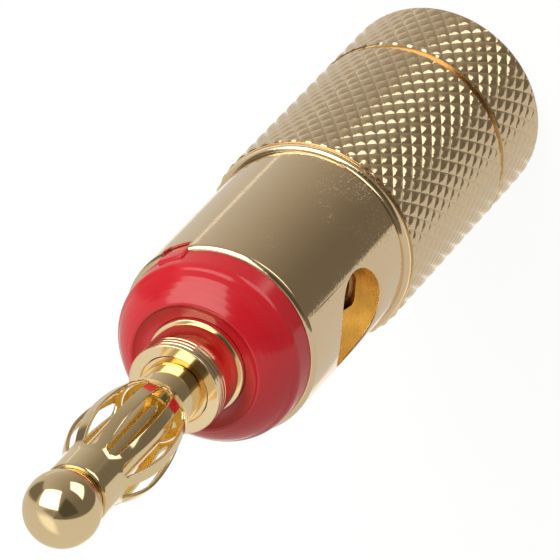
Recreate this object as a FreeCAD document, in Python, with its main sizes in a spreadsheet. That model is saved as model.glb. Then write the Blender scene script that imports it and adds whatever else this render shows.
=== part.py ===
import FreeCAD, Part

import math
import os

import Sketcher

# Screw-type speaker plug, standing on the flat rear end of its knurled cap, pin upwards.
# Millimetres. The origin is the centre of the rear face and +Z runs along the plug to the ball tip.
# The cross hole for the wire opens along +X.

DIMENSIONS = {
    # knurled cap
    "cap_length": 16.7,
    "cap_radius": 5.55,
    "cap_end_round": 0.5,
    "cap_front_bevel": 0.14,
    "cable_radius": 2.5,
    "cable_mouth_bevel": 0.5,
    "knurl_depth": 0.2,
    "knurl_row": 0.62,
    "mark_groove_height": 5.05,
    "mark_groove_width": 0.36,
    "mark_groove_depth": 0.45,
    # threaded stem of the cap
    "stem_radius": 3.75,
    "stem_length": 3.2,
    "stem_bevel": 0.35,
    "relief_depth": 0.4,
    "relief_width": 0.5,
    # barrel
    "barrel_length": 11.4,
    "thread_clearance": 0.05,
    "barrel_wall_front": 2.0,
    "barrel_rim_bevel": 0.22,
    "barrel_rim_arc": 0.35,
    "lip_step": 0.13,
    "lip_width": 0.16,
    "lip_bevel": 0.07,
    "flare_length": 0.9,
    "flare_rise": 0.27,
    "cross_hole_radius": 2.5,
    "cross_hole_from_rear": 5.7,
    # red insulator ring
    "ring_height": 2.85,
    "ring_step": 0.23,
    "ring_taper": 0.06,
    "ring_band": 1.35,
    "ring_dish_width": 0.87,
    "ring_lip_round": 0.08,
    "ring_flank_arc": 3.2,
    "ring_dish_depth": 0.34,
    "ring_dish_arc": 1.3,
    "ring_clearance": 0.05,
    "key_width": 1.5,
    "key_depth": 0.6,
    "key_sink": 0.07,
    "key_thickness": 0.88,
    "key_angle": 124.0,
    "key_clearance": 0.05,
    # pin base: collar, flange, shank and threaded tail
    "collar_height": 2.5,
    "collar_land": 0.57,
    "collar_bevel": 0.06,
    "recess_gap": 0.2,
    "recess_bevel": 0.04,
    "recess_depth": 0.6,
    "trim_groove_first": 0.3,
    "trim_groove_step": 0.26,
    "trim_groove_depth": 0.04,
    "flange_step": 0.15,
    "flange_height": 0.6,
    "flange_recess": 0.05,
    "flange_seat_width": 0.54,
    "tail_step": 0.5,
    "tail_reach": 0.5,
    "tail_bevel": 0.3,
    # pin
    "neck_radius": 1.45,
    "ball_step": 0.45,
    "core_step": 0.2,
    "root_radius": 1.58,
    "root_length": 2.35,
    "root_lap": 0.45,
    "root_cone": 0.35,
    "peg_step": 0.48,
    "peg_length": 2.2,
    "peg_gap": 0.25,
    "seat_clearance": 0.02,
    # lantern spring
    "leaf_thickness": 0.18,
    "sleeve_clearance": 0.05,
    "sleeve_gap": 0.134,
    "sleeve_length": 1.7,
    "sleeve_nose": 0.16,
    "bulge_rise": 0.76,
    "bulge_run": 3.2,
    "hollow_arc": 1.92,
    "rim_run": 3.95,
    "rim_clearance": 0.04,
    "slot_front_margin": 0.35,
    "slot_rear_margin": 0.34,
    "slot_front_width": 0.62,
    "slot_middle_width": 1.12,
    "slot_rear_width": 0.68,
    "slot_angle": 64.0,
}

SLOT_COUNT = 9
KNURL_STARTS = 42
TRIM_GROOVES = 3

# How far a cutting outline reaches past the surface that it cuts
CUT_REACH = 0.1
# Slot ends are this much flatter than half circles
SLOT_END_EASE = 1.02


def make_sheet(doc):
    """Put every driving dimension in its own named cell."""
    sheet = doc.addObject("Spreadsheet::Sheet", "dims")
    for row, (alias, value) in enumerate(DIMENSIONS.items(), start=1):
        sheet.set(f"A{row}", alias)
        sheet.set(f"B{row}", str(value))
        sheet.setAlias(f"B{row}", alias)
    doc.recompute()
    return sheet


# Places that several pieces share, as expressions on the sheet
SEAM = "dims.cap_length"
BARREL_FRONT = "(dims.cap_length + dims.barrel_length)"
BARREL_FLOOR = f"({BARREL_FRONT} - dims.barrel_wall_front)"
BORE_RADIUS = "(dims.stem_radius + dims.thread_clearance)"
LIP_RADIUS = "(dims.cap_radius - dims.lip_step)"
BARREL_RADIUS = f"({LIP_RADIUS} - dims.flare_rise)"
RING_RADIUS = f"({BARREL_RADIUS} - dims.ring_step)"
KEY_OUTER = f"({BARREL_RADIUS} - dims.key_sink)"
KEY_INNER = f"({KEY_OUTER} - dims.key_thickness)"
RECESS_RADIUS = "(dims.root_radius + dims.recess_gap)"
COLLAR_RADIUS = f"({RECESS_RADIUS} + dims.recess_bevel + dims.collar_land)"
FLANGE_RADIUS = f"({COLLAR_RADIUS} + dims.flange_step)"
SHANK_RADIUS = f"({FLANGE_RADIUS} - dims.flange_seat_width)"
TAIL_RADIUS = f"({SHANK_RADIUS} - dims.tail_step)"
PEG_RADIUS = "(dims.root_radius - dims.peg_step)"
CORE_RADIUS = "(dims.neck_radius - dims.core_step)"
BALL_RADIUS = "(dims.neck_radius + dims.ball_step)"
SLEEVE_BORE = "(dims.neck_radius + dims.sleeve_clearance)"
SLEEVE_RADIUS = f"({SLEEVE_BORE} + dims.leaf_thickness)"
BULGE_RADIUS = f"({SLEEVE_RADIUS} + dims.bulge_rise)"
RIM_RADIUS = "(dims.root_radius + dims.rim_clearance + dims.leaf_thickness)"
RING_TOP = f"({BARREL_FRONT} + dims.ring_height)"
RING_FLOOR = f"({RING_TOP} - dims.ring_dish_depth)"
FLANGE_TOP = f"({RING_TOP} - dims.flange_recess)"
FLANGE_SEAT = f"({FLANGE_TOP} - dims.flange_height)"
COLLAR_TOP = f"({FLANGE_TOP} + dims.collar_height)"
RECESS_FLOOR = f"({COLLAR_TOP} - dims.recess_depth)"
LANTERN_RIM = f"({COLLAR_TOP} + dims.root_length)"
BULGE_HEIGHT = f"({LANTERN_RIM} + dims.rim_run)"
SLEEVE_REAR = f"({BULGE_HEIGHT} + dims.bulge_run)"
SLEEVE_FRONT = f"({SLEEVE_REAR} + dims.sleeve_length)"
BALL_OVERHANG = f"sqrt({BALL_RADIUS} * {BALL_RADIUS} - {SLEEVE_BORE} * {SLEEVE_BORE})"
BALL_HEIGHT = f"({SLEEVE_FRONT} + dims.sleeve_gap + {BALL_OVERHANG})"


def number(obj, expression):
    """Value of an expression as a plain number."""
    value = obj.evalExpression(expression)
    return float(getattr(value, "Value", value))


def new_body(doc, label):
    body = doc.addObject("PartDesign::Body", label)
    body.Label = label
    return body


def origin_plane(body, role):
    return next(f for f in body.Origin.OriginFeatures if f.Role == role)


def new_sketch(body, name, role):
    sketch = body.newObject("Sketcher::SketchObject", name)
    sketch.AttachmentSupport = [(origin_plane(body, role), "")]
    sketch.MapMode = "FlatFace"
    return sketch


def new_facing_sketch(body, name, angle, reach):
    """Upright sketch that faces outwards at an angle round the axis, at a distance from it."""
    sketch = new_sketch(body, name, "XZ_Plane")
    sketch.AttachmentOffset = FreeCAD.Placement(
        FreeCAD.Vector(), FreeCAD.Rotation(FreeCAD.Vector(0, 1, 0), number(sketch, f"{angle} + 90"))
    )
    sketch.setExpression("AttachmentOffset.Rotation.Angle", f"{angle} + 90")
    sketch.setExpression("AttachmentOffset.Base.x", f"{reach} * cos({angle})")
    sketch.setExpression("AttachmentOffset.Base.z", f"-{reach} * sin({angle})")
    return sketch


def pin_point(sketch, geometry, end, across, along):
    """Hold one end of a segment at a place that follows the sheet."""
    for kind, axis, expression in (("DistanceX", -2, across), ("DistanceY", -1, along)):
        value = number(sketch, expression)
        if expression == "0":
            sketch.addConstraint(Sketcher.Constraint("PointOnObject", geometry, end, axis))
        elif value >= 0:
            index = sketch.addConstraint(Sketcher.Constraint(kind, -1, 1, geometry, end, value))
            sketch.setExpression(f"Constraints[{index}]", expression)
        else:
            index = sketch.addConstraint(Sketcher.Constraint(kind, geometry, end, -1, 1, -value))
            sketch.setExpression(f"Constraints[{index}]", f"-({expression})")


def draw_arc(start, end, radius):
    """Arc from start to end. A positive radius turns left on the way, a negative one right."""
    middle = (start + end) * 0.5
    chord = end - start
    half = chord.Length / 2
    rise = math.sqrt(max(radius * radius - half * half, 0))
    left = FreeCAD.Vector(-chord.y, chord.x, 0).normalize()
    centre = middle + left * (rise if radius > 0 else -rise)
    first, last = (start, end) if radius > 0 else (end, start)
    begin = math.atan2(first.y - centre.y, first.x - centre.x)
    finish = math.atan2(last.y - centre.y, last.x - centre.x)
    if finish < begin:
        finish += 2 * math.pi
    circle = Part.Circle(centre, FreeCAD.Vector(0, 0, 1), abs(radius))
    return Part.ArcOfCircle(circle, begin, finish)


def draw_outline(sketch, corners):
    """Closed outline through corners, each (across, along) or (across, along, arc radius to the next)."""
    places = [FreeCAD.Vector(number(sketch, c[0]), number(sketch, c[1]), 0) for c in corners]
    ends = []
    for index, corner in enumerate(corners):
        start = places[index]
        end = places[(index + 1) % len(corners)]
        if len(corner) == 3:
            radius = number(sketch, corner[2])
            geometry = sketch.addGeometry(draw_arc(start, end, radius), False)
            ends.append((geometry, 1, 2) if radius > 0 else (geometry, 2, 1))
            size = sketch.addConstraint(Sketcher.Constraint("Radius", geometry, abs(radius)))
            sketch.setExpression(f"Constraints[{size}]", f"abs({corner[2]})")
        else:
            geometry = sketch.addGeometry(Part.LineSegment(start, end), False)
            ends.append((geometry, 1, 2))
    for index, (geometry, _, last) in enumerate(ends):
        following, first, _ = ends[(index + 1) % len(ends)]
        sketch.addConstraint(Sketcher.Constraint("Coincident", geometry, last, following, first))
    for (geometry, first, _), corner in zip(ends, corners):
        pin_point(sketch, geometry, first, corner[0], corner[1])


def revolve(body, name, corners):
    """Turn a half section, given as (radius, height), right round the plug's axis."""
    sketch = new_sketch(body, f"{name}_section", "XZ_Plane")
    draw_outline(sketch, corners)
    turned = body.newObject("PartDesign::Revolution", name)
    turned.Profile = sketch
    turned.ReferenceAxis = (sketch, ["V_Axis"])
    turned.Angle = 360
    sketch.Visibility = False
    return turned


def make_pin(doc):
    """Solid pin: ball tip, neck under the sleeve, thin core, thick root and a peg in the collar."""
    body = new_body(doc, "pin")
    root_top = f"({LANTERN_RIM} + dims.root_lap)"
    peg_end = f"({RECESS_FLOOR} - dims.peg_length)"
    revolve(body, "pin_turned", [
        ("0", peg_end),
        (PEG_RADIUS, peg_end),
        (PEG_RADIUS, RECESS_FLOOR),
        ("dims.root_radius", RECESS_FLOOR),
        ("dims.root_radius", f"({root_top} - dims.root_cone)"),
        (CORE_RADIUS, root_top),
        (CORE_RADIUS, f"({SLEEVE_REAR} - dims.core_step)"),
        ("dims.neck_radius", SLEEVE_REAR),
        ("dims.neck_radius", BALL_HEIGHT),
        ("0", BALL_HEIGHT),
    ])
    ball = body.newObject("PartDesign::AdditiveSphere", "ball_tip")
    ball.setExpression("Radius", BALL_RADIUS)
    ball.setExpression("AttachmentOffset.Base.z", BALL_HEIGHT)
    ball.AttachmentSupport = [(origin_plane(body, "XY_Plane"), "")]
    ball.MapMode = "FlatFace"
    return body


def make_lantern_spring(doc):
    """Rolled spring sleeve whose nine bowed leaves grip the socket. It turns freely on the pin."""
    body = new_body(doc, "lantern_spring")
    thick = "dims.leaf_thickness"
    slope = "(2 * atan(dims.bulge_rise / dims.bulge_run))"
    shoulder_arc = f"(dims.bulge_run / sin({slope}) - dims.hollow_arc)"
    drop = f"({BULGE_RADIUS} - {RIM_RADIUS})"
    rear_arc = f"((dims.rim_run * dims.rim_run + {drop} * {drop}) / (2 * {drop}))"
    rear_sine = f"(dims.rim_run / {rear_arc})"
    rear_cosine = f"(1 - {drop} / {rear_arc})"
    bend_radius = f"({SLEEVE_RADIUS} + dims.hollow_arc * (1 - cos({slope})))"
    bend_height = f"({SLEEVE_REAR} - dims.hollow_arc * sin({slope}))"
    revolve(body, "lantern_shell", [
        (SLEEVE_BORE, SLEEVE_FRONT),
        (f"({SLEEVE_RADIUS} - dims.sleeve_nose)", SLEEVE_FRONT, "-dims.sleeve_nose"),
        (SLEEVE_RADIUS, f"({SLEEVE_FRONT} - dims.sleeve_nose)"),
        (SLEEVE_RADIUS, SLEEVE_REAR, "dims.hollow_arc"),
        (bend_radius, bend_height, f"-{shoulder_arc}"),
        (BULGE_RADIUS, BULGE_HEIGHT, f"-{rear_arc}"),
        (RIM_RADIUS, LANTERN_RIM),
        (f"({RIM_RADIUS} - {thick} * {rear_cosine})",
         f"({LANTERN_RIM} + {thick} * {rear_sine})", f"({rear_arc} - {thick})"),
        (f"({BULGE_RADIUS} - {thick})", BULGE_HEIGHT, f"({shoulder_arc} - {thick})"),
        (f"({bend_radius} - {thick} * cos({slope}))",
         f"({bend_height} - {thick} * sin({slope}))", f"-(dims.hollow_arc + {thick})"),
        (SLEEVE_BORE, SLEEVE_REAR),
    ])
    sketch = new_facing_sketch(body, "slot_outline", "dims.slot_angle", "0")
    front = "(dims.slot_front_width / 2)"
    rear = "(dims.slot_rear_width / 2)"
    front_height = f"({SLEEVE_REAR} - dims.slot_front_margin - {front})"
    rear_height = f"({LANTERN_RIM} + dims.slot_rear_margin + {rear})"
    half_run = f"(({front_height} - {rear_height}) / 2)"
    swell = f"(dims.slot_middle_width / 2 - ({front} + {rear}) / 2)"
    side_arc = f"(({half_run} * {half_run} + {swell} * {swell}) / (2 * {swell}))"
    draw_outline(sketch, [
        (rear, rear_height, side_arc),
        (front, front_height, f"({front} * {SLOT_END_EASE})"),
        (f"-{front}", front_height, side_arc),
        (f"-{rear}", rear_height, f"({rear} * {SLOT_END_EASE})"),
    ])
    slot = body.newObject("PartDesign::Pocket", "slot")
    slot.Profile = sketch
    slot.Type = "Length"
    slot.setExpression("Length", f"{BULGE_RADIUS} + {CUT_REACH}")
    slot.Reversed = True
    sketch.Visibility = False
    ring = body.newObject("PartDesign::PolarPattern", "slots")
    ring.Originals = [slot]
    ring.Axis = (sketch, ["V_Axis"])
    ring.Angle = 360
    ring.Occurrences = SLOT_COUNT
    body.Tip = ring
    return body


def make_pin_base(doc):
    """Turned base of the pin: flat collar with a recess, flange, shank and threaded tail."""
    body = new_body(doc, "pin_base")
    socket = f"({PEG_RADIUS} + dims.seat_clearance)"
    socket_floor = f"({RECESS_FLOOR} - dims.peg_length - dims.peg_gap)"
    tail_end = f"({BARREL_FLOOR} - dims.tail_reach)"
    tail = f"({TAIL_RADIUS} - dims.seat_clearance)"
    revolve(body, "base_turned", [
        ("0", tail_end),
        (f"({tail} - dims.tail_bevel)", tail_end),
        (tail, f"({tail_end} + dims.tail_bevel)"),
        (tail, BARREL_FRONT),
        (SHANK_RADIUS, BARREL_FRONT),
        (SHANK_RADIUS, FLANGE_SEAT),
        (FLANGE_RADIUS, FLANGE_SEAT),
        (FLANGE_RADIUS, FLANGE_TOP),
        (COLLAR_RADIUS, FLANGE_TOP),
        (COLLAR_RADIUS, f"({COLLAR_TOP} - dims.collar_bevel)"),
        (f"({COLLAR_RADIUS} - dims.collar_bevel)", COLLAR_TOP),
        (f"({COLLAR_RADIUS} - dims.collar_land)", COLLAR_TOP),
        (RECESS_RADIUS, f"({COLLAR_TOP} - dims.recess_bevel)"),
        (RECESS_RADIUS, RECESS_FLOOR),
        (socket, RECESS_FLOOR),
        (socket, socket_floor),
        ("0", socket_floor),
    ])
    sketch = new_sketch(body, "trim_groove_section", "XZ_Plane")
    middle = f"({COLLAR_TOP} - dims.trim_groove_first)"
    draw_outline(sketch, [
        (f"({COLLAR_RADIUS} - dims.trim_groove_depth)", middle),
        (f"({COLLAR_RADIUS} + {CUT_REACH})", f"({middle} - dims.trim_groove_depth - {CUT_REACH})"),
        (f"({COLLAR_RADIUS} + {CUT_REACH})", f"({middle} + dims.trim_groove_depth + {CUT_REACH})"),
    ])
    groove = body.newObject("PartDesign::Groove", "trim_groove")
    groove.Profile = sketch
    groove.ReferenceAxis = (sketch, ["V_Axis"])
    groove.Angle = 360
    sketch.Visibility = False
    row = body.newObject("PartDesign::LinearPattern", "trim_grooves")
    row.Originals = [groove]
    row.Direction = (sketch, ["V_Axis"])
    row.Reversed = True
    row.setExpression("Length", f"dims.trim_groove_step * {TRIM_GROOVES - 1}")
    row.Occurrences = TRIM_GROOVES
    body.Tip = row
    return body


def key_corners(gap):
    """Outline of the ring's key, or of the notch that takes it when there is a gap."""
    half = f"(dims.key_width / 2 + {gap})"
    low = f"({BARREL_FRONT} - dims.key_depth - {gap})"
    high = f"({BARREL_FRONT} + dims.ring_band / 2)"
    return [(half, low), (half, high), (f"-{half}", high), (f"-{half}", low)]


def make_insulator_ring(doc):
    """Red moulded ring with a dished mouth, held by the flange and keyed into the barrel's rim."""
    body = new_body(doc, "insulator_ring")
    bore = f"({SHANK_RADIUS} + dims.ring_clearance)"
    mouth = f"({FLANGE_RADIUS} + dims.ring_clearance)"
    lip = f"({mouth} + dims.ring_dish_width)"
    crease = f"({BARREL_FRONT} + dims.ring_band)"
    crown = "dims.ring_lip_round"
    lip_foot = f"({RING_TOP} - {crown} / 2)"
    revolve(body, "ring_moulded", [
        (bore, BARREL_FRONT),
        (RING_RADIUS, BARREL_FRONT),
        (f"({RING_RADIUS} - dims.ring_taper)", crease, "dims.ring_flank_arc"),
        (f"({lip} + {crown})", lip_foot, f"({crown} * 2)"),
        (f"({lip} - {crown} * 3 / 4)", RING_TOP),
        (f"({lip} - {crown} * 3 / 2)", lip_foot, "-dims.ring_dish_arc"),
        (mouth, RING_FLOOR),
        (mouth, FLANGE_SEAT),
        (bore, FLANGE_SEAT),
    ])
    sketch = new_facing_sketch(body, "key_outline", "dims.key_angle", KEY_INNER)
    draw_outline(sketch, key_corners("0"))
    key = body.newObject("PartDesign::Pad", "key")
    key.Profile = sketch
    key.Type = "Length"
    key.setExpression("Length", "dims.key_thickness")
    sketch.Visibility = False
    return body


def make_barrel(doc):
    """Turned barrel: closed front wall, threaded bore, flared rear lip, cross hole and key notch."""
    body = new_body(doc, "barrel")
    flare_top = f"({SEAM} + dims.lip_width + dims.flare_length)"
    rise = "dims.flare_rise"
    flare_arc = f"((dims.flare_length * dims.flare_length + {rise} * {rise}) / (2 * {rise}))"
    revolve(body, "barrel_turned", [
        (TAIL_RADIUS, BARREL_FLOOR),
        (BORE_RADIUS, BARREL_FLOOR),
        (BORE_RADIUS, f"({SEAM} + dims.stem_bevel)"),
        (f"({BORE_RADIUS} + dims.stem_bevel)", SEAM),
        (f"({LIP_RADIUS} - dims.lip_bevel)", SEAM),
        (LIP_RADIUS, f"({SEAM} + dims.lip_bevel)"),
        (LIP_RADIUS, f"({SEAM} + dims.lip_width)", f"-{flare_arc}"),
        (BARREL_RADIUS, flare_top),
        (BARREL_RADIUS, f"({BARREL_FRONT} - dims.barrel_rim_bevel)", "dims.barrel_rim_arc"),
        (f"({BARREL_RADIUS} - dims.barrel_rim_bevel)", BARREL_FRONT),
        (TAIL_RADIUS, BARREL_FRONT),
    ])
    drill = new_sketch(body, "cross_hole_outline", "YZ_Plane")
    height = f"({SEAM} + dims.cross_hole_from_rear)"
    centre = FreeCAD.Vector(0, number(drill, height), 0)
    radius = number(drill, "dims.cross_hole_radius")
    circle = drill.addGeometry(Part.Circle(centre, FreeCAD.Vector(0, 0, 1), radius), False)
    drill.addConstraint(Sketcher.Constraint("PointOnObject", circle, 3, -2))
    place = drill.addConstraint(Sketcher.Constraint("DistanceY", -1, 1, circle, 3, centre.y))
    drill.setExpression(f"Constraints[{place}]", height)
    size = drill.addConstraint(Sketcher.Constraint("Radius", circle, radius))
    drill.setExpression(f"Constraints[{size}]", "dims.cross_hole_radius")
    cross = body.newObject("PartDesign::Pocket", "cross_hole")
    cross.Profile = drill
    cross.Type = "Length"
    cross.setExpression("Length", f"{LIP_RADIUS} + {CUT_REACH}")
    cross.Reversed = True
    drill.Visibility = False
    outside = f"({BARREL_RADIUS} + {CUT_REACH})"
    rim = new_facing_sketch(body, "notch_outline", "dims.key_angle", outside)
    draw_outline(rim, key_corners("dims.key_clearance"))
    notch = body.newObject("PartDesign::Pocket", "key_notch")
    notch.Profile = rim
    notch.Type = "Length"
    notch.setExpression("Length", f"{outside} - {KEY_INNER} + dims.key_clearance")
    rim.Visibility = False
    return body


def ring_of_points(count, radius_at, height):
    """Points evenly spaced round the axis, each at its own radius."""
    points = []
    for column in range(count):
        angle = 2 * math.pi * column / count
        radius = radius_at(column)
        points.append(FreeCAD.Vector(radius * math.cos(angle), radius * math.sin(angle), height))
    return points


def knurled_blank(length, crest, depth, row_step, starts):
    """Solid bar whose side is a lattice of four-sided points, as two crossing knurls leave it."""
    columns = 2 * starts
    rows = math.ceil(length / row_step)

    def crest_or_root(row):
        return lambda column: crest if (column + row) % 2 else crest - depth

    grid = [ring_of_points(columns, crest_or_root(row), row * row_step) for row in range(rows + 1)]
    faces = []
    for row in range(rows + 1):
        for column in range(columns):
            if (column + row) % 2 == 0:
                continue
            tip = grid[row][column]
            right = grid[row][(column + 1) % columns]
            left = grid[row][column - 1]
            if row < rows:
                above = grid[row + 1][column]
                faces += [triangle(tip, right, above), triangle(tip, above, left)]
            if row > 0:
                below = grid[row - 1][column]
                faces += [triangle(tip, below, right), triangle(tip, left, below)]
    for end in (grid[0], grid[-1]):
        faces.append(Part.Face(Part.makePolygon(end + [end[0]])))
    shell = Part.Compound(faces)
    shell.sewShape()
    solid = Part.makeSolid(shell.Shells[0] if shell.Shells else Part.Shell(shell.Faces))
    return solid if solid.Volume > 0 else solid.reversed()


def triangle(first, second, third):
    return Part.Face(Part.makePolygon([first, second, third, first]))


def make_knurled_cap(doc, sheet):
    """Knurled clamp cap with a marking groove, a cable bore and a threaded stem."""
    blank = doc.addObject("Part::Feature", "knurl_blank")
    blank.Shape = knurled_blank(
        sheet.get("cap_length") + sheet.get("stem_length") + sheet.get("knurl_row"),
        sheet.get("cap_radius"),
        sheet.get("knurl_depth"),
        sheet.get("knurl_row"),
        KNURL_STARTS,
    )
    envelope = new_body(doc, "cap_envelope")
    low = "(dims.mark_groove_height - dims.mark_groove_width / 2)"
    high = "(dims.mark_groove_height + dims.mark_groove_width / 2)"
    groove = "(dims.cap_radius - dims.mark_groove_depth)"
    relief = "(dims.stem_radius - dims.relief_depth)"
    stem_top = f"({SEAM} + dims.stem_length)"
    outside = f"(dims.cap_radius + {CUT_REACH})"
    revolve(envelope, "cap_turned", [
        ("(dims.cable_radius + dims.cable_mouth_bevel)", "0"),
        ("(dims.cap_radius - dims.cap_end_round)", "0", "dims.cap_end_round"),
        ("dims.cap_radius", "dims.cap_end_round"),
        (outside, f"(dims.cap_end_round + {CUT_REACH})"),
        (outside, low),
        (groove, low),
        (groove, high),
        (outside, high),
        (outside, f"({SEAM} - dims.cap_front_bevel - {CUT_REACH})"),
        ("dims.cap_radius", f"({SEAM} - dims.cap_front_bevel)"),
        ("(dims.cap_radius - dims.cap_front_bevel)", SEAM),
        (relief, SEAM),
        (relief, f"({SEAM} + dims.relief_width)"),
        ("dims.stem_radius", f"({SEAM} + dims.relief_width)"),
        ("dims.stem_radius", f"({stem_top} - dims.stem_bevel)"),
        ("(dims.stem_radius - dims.stem_bevel)", stem_top),
        ("dims.cable_radius", stem_top),
        ("dims.cable_radius", "dims.cable_mouth_bevel"),
    ])
    cap = doc.addObject("Part::Common", "knurled_cap")
    cap.Label = "knurled_cap"
    cap.Base = blank
    cap.Tool = envelope
    cap.Refine = False
    return cap


def check_objects(doc):
    """Stop if any object of the document failed to build."""
    for item in doc.Objects:
        if "Invalid" in item.State or "Error" in item.State:
            raise RuntimeError(f"{item.Label} did not build: {item.State}")


def check_solid(piece):
    """Stop if a piece is not one sound solid."""
    shape = piece.Shape
    if shape.isNull() or not shape.isValid() or len(shape.Solids) != 1:
        raise RuntimeError(f"{piece.Label} is not one sound solid")


def main():
    doc = FreeCAD.newDocument("speaker_plug")
    sheet = make_sheet(doc)
    pieces = [
        make_pin(doc),
        make_lantern_spring(doc),
        make_pin_base(doc),
        make_insulator_ring(doc),
        make_barrel(doc),
        make_knurled_cap(doc, sheet),
    ]
    doc.recompute()
    check_objects(doc)
    for piece in pieces:
        check_solid(piece)
    os.makedirs("parts", exist_ok=True)
    for piece in pieces:
        piece.Shape.exportStep(os.path.join("parts", f"{piece.Label}.step"))
        print(f"{piece.Label}: {piece.Shape.Volume:.2f} mm3")


main()
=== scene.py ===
"""Looks of a screw-type 4 mm banana plug: gold plated turned pieces, a lantern spring and a red ring.

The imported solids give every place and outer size. The pieces here are turned again from finer outlines,
because polished metal shows each facet of a coarse mesh. Sizes are in millimetres where nothing else
is said.
"""

import logging
import math
from dataclasses import dataclass, field
from enum import Enum

import bmesh
import bpy
from mathutils import Matrix, Vector

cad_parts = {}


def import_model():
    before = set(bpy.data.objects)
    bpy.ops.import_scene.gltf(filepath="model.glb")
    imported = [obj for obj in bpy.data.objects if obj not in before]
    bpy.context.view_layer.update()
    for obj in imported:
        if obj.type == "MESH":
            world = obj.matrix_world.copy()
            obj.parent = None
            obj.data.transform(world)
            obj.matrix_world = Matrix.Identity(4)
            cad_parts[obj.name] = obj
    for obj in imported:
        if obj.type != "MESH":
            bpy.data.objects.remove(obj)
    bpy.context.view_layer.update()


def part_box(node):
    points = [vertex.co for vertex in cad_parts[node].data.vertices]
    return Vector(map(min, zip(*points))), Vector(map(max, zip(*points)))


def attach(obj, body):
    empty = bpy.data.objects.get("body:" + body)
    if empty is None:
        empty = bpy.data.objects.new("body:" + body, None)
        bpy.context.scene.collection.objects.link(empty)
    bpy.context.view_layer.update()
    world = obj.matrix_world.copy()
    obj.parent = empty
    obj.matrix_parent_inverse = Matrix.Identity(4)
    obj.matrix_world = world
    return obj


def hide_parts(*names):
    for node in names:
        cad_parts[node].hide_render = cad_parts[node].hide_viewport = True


LOG = logging.getLogger("banana_plug")
MM = 0.001

# A full turn in radians and in degrees, and the bend in degrees that keeps an edge sharp
FULL_TURN = 2 * math.pi
CIRCLE = 360.0
SHARP_ANGLE = 32.0

# Distance within which a point lies on a surface, and the height of full relief in metres
NEAR = 0.01
FULL_RELIEF = 0.01 * MM

# Measures that two pieces share: key in notch, spring on pin, root in collar
KEY_ANGLE = math.radians(124)
SLEEVE_LENGTH = 1.7
RECESS_DEPTH = 0.35

Pair = tuple[float, float]
Triple = tuple[float, float, float]
BMesh = bmesh.types.BMesh
Piece = bpy.types.Object
Socket = bpy.types.NodeSocket
Feed = Socket | float | tuple[float, ...]


class Body(Enum):
    """Rigid bodies of the plug."""

    CAP = "cap"
    LANTERN = "lantern"
    BARREL = "barrel"


class Slot(Enum):
    """Material slots of the record."""

    PIN = "pin_plating"
    SPRING = "spring_plating"
    RING = "ring_plastic"
    BARREL = "body_plating"
    KNURL = "knurl_plating"


class Marks(Enum):
    """Direction of the fine tool marks on a plated surface."""

    TURNED = (0.3, 0.3, 9.0)
    DRILLED = (9.0, 0.8, 0.8)
    ROLLED = (2.5, 2.5, 0.5)


@dataclass(frozen=True)
class Span:
    """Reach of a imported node: its least and greatest height and its greatest radius."""

    bottom: float
    top: float
    radius: float

    @classmethod
    def of(cls, node: str) -> "Span":
        """Read a node's box from the frame.

        Args:
            node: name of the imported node.

        Returns:
            The node's reach at rest.
        """
        low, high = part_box(node)
        low, high = low / MM, high / MM
        return cls(low.z, high.z, max(-low.x, high.x, -low.y, high.y))


def reach_of(node: str) -> Span:
    """Field of a sub-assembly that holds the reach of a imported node."""
    return field(default_factory=lambda: Span.of(node))


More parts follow.
